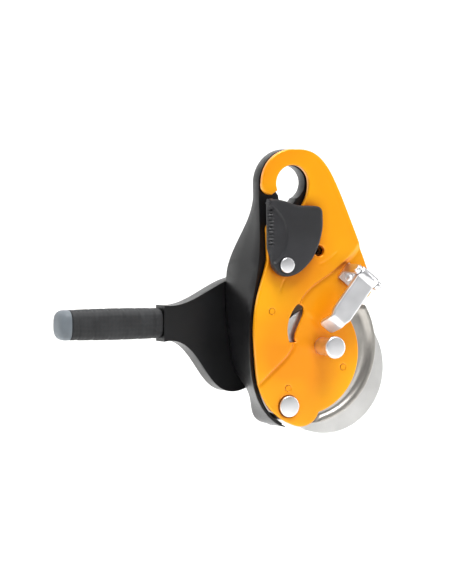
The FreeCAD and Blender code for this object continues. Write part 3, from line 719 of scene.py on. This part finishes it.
def safety_gate_piece():
    """The thumb gate: a domed plastic lever with a scooped and ribbed left edge, on a round pivot."""
    low, high = node_box("safety_gate")
    outer = spline_loop(
        [
            (-16.2, -9.8), (-15.4, -8.4), (-12.0, -8.1), (-7.0, -9.0), (0.4, -11.2), (11.1, -11.8),
            (14.3, -13.4), (15.0, -17.0), (14.8, -24.0), (12.6, -32.0), (8.6, -39.5), (2.5, -45.3),
            (-3.0, -47.8), (-8.5, -47.6), (-13.0, -43.5), (-14.3, -37.7),
        ],
        [(-14.3, -37.7), (-15.9, -33.5)],
        [(-15.9, -33.5), (-16.2, -9.8)],
    )
    hole = circle(GATE_PIVOT, GATE_HOLE_R)
    dome_x, dome_z, dome_half_x, dome_half_z, dome_depth = -1.0, -28.0, 17.0, 21.0, 0.55
    thumb_x, thumb_z, thumb_r, scoop_depth = -24.0, -27.0, 17.5, 1.6
    rib_x, rib_top, rib_bottom, rib_depth, fade = -12.6, -12.5, -33.5, 0.9, 1.0

    def front(x, z):
        """The dome, less a scoop for the thumb and a row of cosine ribs down the left edge."""
        dome = smooth_step(np.hypot((x - dome_x) / dome_half_x, (z - dome_z) / dome_half_z), 0.35, 1.1)
        thumb = 1.0 - smooth_step(np.hypot(x - thumb_x, z - thumb_z), thumb_r, thumb_r + 0.9)
        scoop = thumb * (0.5 + 0.5 * smooth_step(-x, 6.0, 15.0))
        left = 1.0 - smooth_step(x, rib_x - fade, rib_x)
        rows = left * smooth_step(-z, -rib_top, fade - rib_top)
        rows = rows * (1.0 - smooth_step(-z, -rib_bottom - fade, -rib_bottom))
        ribs = 0.5 - 0.5 * np.cos(2 * math.pi * z / size("rib_pitch"))
        return low[1] + dome_depth * dome + scoop_depth * scoop + rib_depth * rows * ribs

    def back(x, z):
        """Flat, with a round well for the spring about the pivot."""
        r = np.hypot(x - GATE_PIVOT[0], z - GATE_PIVOT[1])
        return high[1] - GATE_WELL_DEPTH * (1.0 - smooth_step(r, GATE_WELL_R, GATE_WELL_R + 0.3))

    mesh = plate_mesh(*outlines(outer, hole), size("gate_edge"), size("gate_cell"), front, back)
    return piece("safety_gate_skin", *mesh, "safety_gate", "gate_grey", ("safety_gate",), sharp=50.0)


def along_brake(s, w, y):
    """A place in mm from its distance along the brake gate, across it, and its depth."""
    a = math.radians(BRAKE_ANGLE)
    u, v = np.array([-math.cos(a), -math.sin(a)]), np.array([math.sin(a), -math.cos(a)])
    x, z = (HINGE + np.asarray(s)[:, None] * u + np.asarray(w)[:, None] * v).T
    return np.stack([x, y, z], 1)


def brake_outline(end):
    """The flat strip's outline: round corners at the hinge and at the end, and a step in to the lip."""
    h, k = BRAKE_HALF_WIDTH, BRAKE_HALF_WIDTH - 1.2
    hinge_end, step_from, step_to = -1.6, 22.5, 29.0
    return spline_loop(
        [(0.0, h), (-1.1, h - 0.5), (hinge_end, h - 1.8)],
        [(hinge_end, h - 1.8), (hinge_end, 1.8 - h)],
        [(hinge_end, 1.8 - h), (-1.1, 0.5 - h), (0.0, -h)],
        [(0.0, -h), (step_from, -h)],
        [(step_from, -h), (step_from + 2.0, -h + 0.2), (step_to - 2.0, -k - 0.1), (step_to, -k)],
        [(step_to, -k), (end - 2.2, -k)],
        [(end - 2.2, -k), (end - 0.7, -k + 0.6), (end, -k + 2.2)],
        [(end, -k + 2.2), (end, k - 2.2)],
        [(end, k - 2.2), (end - 0.7, k - 0.6), (end - 2.2, k)],
        [(end - 2.2, k), (step_to, k)],
        [(step_to, k), (step_to - 2.0, k + 0.1), (step_from + 2.0, h - 0.2), (step_from, h)],
        [(step_from, h), (0.0, h)],
    )


def brake_strip(bend=1.2, theta=math.radians(62), cell=0.6):
    """The gate's strip, cut flat, then turned about the bend's centre from where the bend starts."""
    tangent = bend * math.tan(theta / 2)
    neutral, start = bend + BRAKE_THICKNESS / 2, BRAKE_LENGTH - tangent
    outline = brake_outline(start + neutral * theta + BRAKE_LIP - tangent)
    points, faces = plate_mesh(
        outline, loop(outline), size("brake_edge"), cell, level(0), level(BRAKE_THICKNESS)
    )
    s, t, w = points.T
    turn = np.clip((s - start) / neutral, 0, theta)
    past = np.maximum(s - start - neutral * theta, 0)
    reach = bend + BRAKE_THICKNESS - t
    along = np.where(s > start, start + reach * np.sin(turn) + past * math.cos(theta), s)
    bent = BRAKE_BACK + bend - reach * np.cos(turn) + past * math.sin(theta)
    return along_brake(along, w, np.where(s > start, bent, BRAKE_BACK - BRAKE_THICKNESS + t)), faces


def brake_gate_piece():
    """The folded steel gate: a strip whose end turns down round a smooth bend, and its hinge barrel."""
    a = math.radians(BRAKE_ANGLE)
    across = np.array([math.sin(a), 0.0, -math.cos(a)])
    origin = np.array([HINGE[0], BRAKE_BACK - BRAKE_THICKNESS / 2, HINGE[1]])
    end = -BRAKE_HALF_WIDTH
    half = [(0, end), (2.5, end), (3.0, end + 0.25), (3.25, end + 0.8)]
    barrel = lathe([*half, *[(r, -x) for r, x in half[::-1]]], origin, across)
    return piece(
        "brake_gate_skin", *join(brake_strip(), barrel), "brake_gate", "steel_polished", ("brake_gate",),
        sharp=50.0,
    )


def round_part(name, node, profile, centre, body, slot, sharp=40.0):
    """A turned piece about the Y axis through a centre, in place of a CAD node."""
    mesh = lathe(profile, (centre[0], 0.0, centre[1]))
    return piece(name, *mesh, body, slot, (node,), sharp=sharp)


def post_piece():
    """The post that the rope bends round, with its mushroom head."""
    low, high = node_box("brake_post")
    centre = ((low + high) / 2)[[0, 2]]
    r = (high[0] - low[0]) / 2
    head = head_profile(r, low[1], low[1] + 2.3, 0.9, 0.15)
    neck_r = r - 1.1
    neck = [(r - 0.2, low[1] + 2.8), (neck_r, low[1] + 3.2), (neck_r, POST_NECK_END)]
    spigot = [(POST_SPIGOT_R, POST_NECK_END), (POST_SPIGOT_R, high[1]), (0, high[1])]
    profile = head + neck + spigot
    return round_part("brake_post_skin", "brake_post", profile, centre, "side_plate", "steel_polished")


def axle_piece():
    """The cam's axle with its low crowned head."""
    low, high = node_box("cam_axle")
    shoulder = low[1] + AXLE_HEAD_HEIGHT
    head = head_profile(AXLE_HEAD_R, low[1], shoulder, 0.6, 0.2)
    shank = [(AXLE_R, shoulder), (AXLE_R, high[1]), (0, high[1])]
    return round_part("cam_axle_skin", "cam_axle", head + shank, CAM_AXLE, "frame", "steel_polished")


def gate_rivet_piece():
    """The safety gate's rivet."""
    low, high = node_box("gate_rivet")
    r = (high[0] - low[0]) / 2
    head = head_profile(r, low[1], GATE_RIVET_SHOULDER, 0.5, 0.2)
    shank = [(GATE_RIVET_SHANK_R, GATE_RIVET_SHOULDER), (GATE_RIVET_SHANK_R, high[1]), (0, high[1])]
    profile = head + shank
    return round_part("gate_rivet_skin", "gate_rivet", profile, GATE_PIVOT, "side_plate", "steel_polished")


def bar(x, half_y, half_z, y_mid, z_mid, power, steps=72):
    """A bar along X whose section is a superellipse: |y/a|^n + |z/b|^n = 1, with sizes given at each X."""
    a = 2 * math.pi * np.arange(steps) / steps
    c, s = np.cos(a), np.sin(a)
    cy = np.sign(c) * np.abs(c) ** (2 / power)
    cz = np.sign(s) * np.abs(s) ** (2 / power)
    y = y_mid + np.asarray(half_y)[:, None] * cy
    z = z_mid + np.asarray(half_z)[:, None] * cz
    points = np.stack([np.broadcast_to(np.asarray(x)[:, None], y.shape), y, z], 2)
    return points.reshape(-1, 3), grid_faces(len(x), steps, closed_columns=True).tolist()


def grip_piece(end_share=0.025, end_drop=0.16, swell=0.045, groove_depth=0.03, grooves=6):
    """The soft grip: a superelliptic sleeve that swells in the middle, with shallow finger grooves.

    Its ends are quarter ellipses, its swell is half a sine, and each groove is a cosine to the sixth power.
    """
    low, high = node_box("handle_grip")
    mid, half = (low + high) / 2, (high - low) / 2
    t = np.linspace(0, 1, 160)
    x = low[0] + (high[0] - low[0]) * t
    end = np.minimum(1.0, np.minimum(t, 1 - t) / end_share)
    round_end = np.sqrt(1 - (1 - end) ** 2) * end_drop + 1 - end_drop
    groove = np.maximum(0, np.cos(2 * math.pi * (t * grooves + 0.5))) ** 6 * smooth_step(end, 0.9, 1.0)
    k = round_end * (1 - swell + swell * np.sin(math.pi * t) - groove_depth * groove)
    k[[0, -1]] = 0.0
    mesh = bar(x, half[1] * k, half[2] * k, mid[1], mid[2], SUPERELLIPSE)
    return piece("handle_grip_skin", *mesh, "handle", "grip_rubber", ("handle_grip",), sharp=60.0)


def cap_piece(collar=1.5, fill=0.96):
    """The handle's end cap: a short collar, then a dome whose size is the square root of a cosine."""
    low, high = node_box("handle_cap")
    mid, half = (low + high) / 2, (high - low) / 2
    t = np.linspace(0, math.pi / 2, 24)
    start = high[0] - collar
    x = np.concatenate([[high[0], high[0]], start - (start - low[0]) * np.sin(t)])
    k = np.concatenate([[0.0, fill], fill * np.cos(t) ** 0.5])
    mesh = bar(x, half[1] * k, half[2] * k, mid[1], mid[2], SUPERELLIPSE)
    return piece("handle_cap_skin", *mesh, "handle", "cap_grey_blue", ("handle_cap",), sharp=60.0)


# ---------------------------------------------------------------- stage


def studio_floor():
    """Matt seamless paper: pale, with a faint cloudiness that keeps it from being one flat tone."""
    material, tree, shader, where = begin("seamless_paper_pale")
    pale = colour("floor")
    two_tone(tree, shader, where, (*(0.96 * c for c in pale[:3]), 1.0), pale, 260.0)
    shader.inputs["Roughness"].default_value = 0.9
    shader.inputs["Specular IOR Level"].default_value = 0.1
    return material


def backdrop(half_width=4.0, front=-3.0, back=2.6, radius=1.2, top=4.0):
    """A floor that sweeps up into a wall: a profile of two lines and a quarter circle, carried along X."""
    floor = -size("floor_drop") * MM
    t = np.linspace(0, math.pi / 2, 24)
    y = np.concatenate([[front], back - radius + radius * np.sin(t), [back]])
    z = np.concatenate([[floor], floor + radius * (1 - np.cos(t)), [top]])
    x = np.array([-half_width, half_width])
    points = np.stack([np.repeat(x, len(y)), np.tile(y, 2), np.tile(z, 2)], 1)
    mesh = bpy.data.meshes.new("backdrop")
    mesh.from_pydata(points.tolist(), [], grid_faces(2, len(y)).tolist())
    mesh.shade_smooth()
    mesh.materials.append(studio_floor())
    thing = bpy.data.objects.new("backdrop", mesh)
    bpy.context.scene.collection.objects.link(thing)


def towards(azimuth, elevation):
    """The unit vector from the part to a place at that azimuth and elevation, in degrees."""
    a, e = math.radians(azimuth), math.radians(elevation)
    return np.array([math.sin(a) * math.cos(e), -math.cos(a) * math.cos(e), math.sin(e)])


def aim(thing, target, place):
    """Puts a lamp or the camera at a place, looking at a target, both in metres."""
    thing.location = place
    thing.rotation_euler = Vector(target - place).to_track_quat("-Z", "Y").to_euler()


def area_light(name, target, place, width, height, power):
    """A white rectangular lamp at a place, in metres, that faces a target."""
    lamp = bpy.data.lights.new(name, "AREA")
    lamp.shape, lamp.size, lamp.size_y, lamp.energy = "RECTANGLE", width, height, power
    thing = bpy.data.objects.new(name, lamp)
    bpy.context.scene.collection.objects.link(thing)
    aim(thing, target, place)


def softbox(name, azimuth, elevation, distance, width, height, power):
    """A lamp aimed at the part from that azimuth, elevation and distance."""
    area_light(name, MIDDLE, MIDDLE + distance * towards(azimuth, elevation), width, height, power)


def wall_light():
    """A wide lamp overhead that faces the backdrop, so that it stays near white."""
    area_light("wall", np.array([0.3, 2.6, 0.2]), np.array([0.3, 0.7, 1.9]), 3.0, 1.2, 60.0)


def camera():
    """A long lens at the part's usual three-quarter view, a little above its middle."""
    lens = bpy.data.cameras.new("camera")
    lens.lens, lens.sensor_width, lens.clip_end = 250.0, 36.0, 20.0
    thing = bpy.data.objects.new("camera", lens)
    bpy.context.scene.collection.objects.link(thing)
    aim(thing, MIDDLE, MIDDLE + 2.1 * towards(-26.0, 2.5))
    bpy.context.scene.camera = thing


def surroundings():
    """A pale room with a darker band low down, so that metal has something to reflect."""
    world = bpy.data.worlds.new("studio")
    bpy.context.scene.world = world
    world.use_nodes = True
    tree = world.node_tree
    shade = next(n for n in tree.nodes if n.type == "BACKGROUND")
    where = add(tree, "ShaderNodeTexCoord").outputs["Object"]
    split = add(tree, "ShaderNodeSeparateXYZ", {"Vector": where})
    blend = ramp(tree, split.outputs["Z"], 0.0, 0.8, linear("#8E9093"), linear("#FFFFFF"))
    tree.links.new(blend, shade.inputs["Color"])
    shade.inputs["Strength"].default_value = 0.6


# ---------------------------------------------------------------- operators


class DESCENDER_OT_cad_finish(bpy.types.Operator):
    """Give every CAD node its material, and round the moulded body's sharp edges"""

    bl_idname = "descender.cad_finish"
    bl_label = "Finish CAD nodes"

    def execute(self, context):
        finish_nodes()
        for node in ("back_shell", "rear_cover", "handle_arm"):
            soften(node, size("shell_edge"))
        soften("brake_bracket", size("bracket_edge"))
        return {"FINISHED"}


class DESCENDER_OT_side_plate(bpy.types.Operator):
    """Build the orange side plate and the steel liner behind its lobe"""

    bl_idname = "descender.side_plate"
    bl_label = "Side plate and liner"

    def execute(self, context):
        side_plate_piece()
        brake_flange_piece()
        return {"FINISHED"}


class DESCENDER_OT_safety_gate(bpy.types.Operator):
    """Build the thumb gate and its rivet"""

    bl_idname = "descender.safety_gate"
    bl_label = "Safety gate"

    def execute(self, context):
        safety_gate_piece()
        gate_rivet_piece()
        return {"FINISHED"}


class DESCENDER_OT_brake(bpy.types.Operator):
    """Build the folded steel brake gate, the post and the cam's axle"""

    bl_idname = "descender.brake"
    bl_label = "Brake gate, post and axle"

    def execute(self, context):
        brake_gate_piece()
        post_piece()
        axle_piece()
        return {"FINISHED"}


class DESCENDER_OT_handle(bpy.types.Operator):
    """Build the handle's grip and end cap"""

    bl_idname = "descender.handle"
    bl_label = "Grip and cap"

    def execute(self, context):
        grip_piece()
        cap_piece()
        return {"FINISHED"}


class DESCENDER_OT_stage(bpy.types.Operator):
    """Set up the backdrop, the lights, the surroundings and the camera"""

    bl_idname = "descender.stage"
    bl_label = "Stage"

    def execute(self, context):
        backdrop()
        surroundings()
        softbox("key", 4.0, 62.0, 1.2, 0.6, 0.5, 16.0)
        softbox("strip", -98.0, 8.0, 1.1, 0.16, 1.0, 3.0)
        softbox("side", 70.0, 6.0, 1.2, 0.22, 1.0, 6.0)
        wall_light()
        camera()
        context.scene.view_settings.view_transform = "Standard"
        return {"FINISHED"}


OPERATORS = (
    DESCENDER_OT_cad_finish, DESCENDER_OT_side_plate, DESCENDER_OT_safety_gate, DESCENDER_OT_brake,
    DESCENDER_OT_handle, DESCENDER_OT_stage,
)


class DESCENDER_PT_panel(bpy.types.Panel):
    """Lists the builder's steps in order"""

    bl_idname = "DESCENDER_PT_panel"
    bl_label = "Rope Descender"
    bl_space_type = "VIEW_3D"
    bl_region_type = "UI"
    bl_category = "Descender"

    def draw(self, context):
        for operator in OPERATORS:
            self.layout.operator(operator.bl_idname)


CLASSES = (DescenderPalette, DescenderSizes, *OPERATORS, DESCENDER_PT_panel)


def register():
    """Registers the classes and hangs the settings on the scene."""
    for cls in CLASSES:
        bpy.utils.register_class(cls)
    bpy.types.Scene.descender_palette = bpy.props.PointerProperty(type=DescenderPalette)
    bpy.types.Scene.descender_sizes = bpy.props.PointerProperty(type=DescenderSizes)


def unregister():
    """Takes the settings and the classes away again."""
    del bpy.types.Scene.descender_sizes
    del bpy.types.Scene.descender_palette
    for cls in reversed(CLASSES):
        bpy.utils.unregister_class(cls)


def main():
    """Builds every piece in order."""
    register()
    bpy.ops.descender.cad_finish()
    bpy.ops.descender.side_plate()
    bpy.ops.descender.safety_gate()
    bpy.ops.descender.brake()
    bpy.ops.descender.handle()
    bpy.ops.descender.stage()


if __name__ == "__main__":
    main()
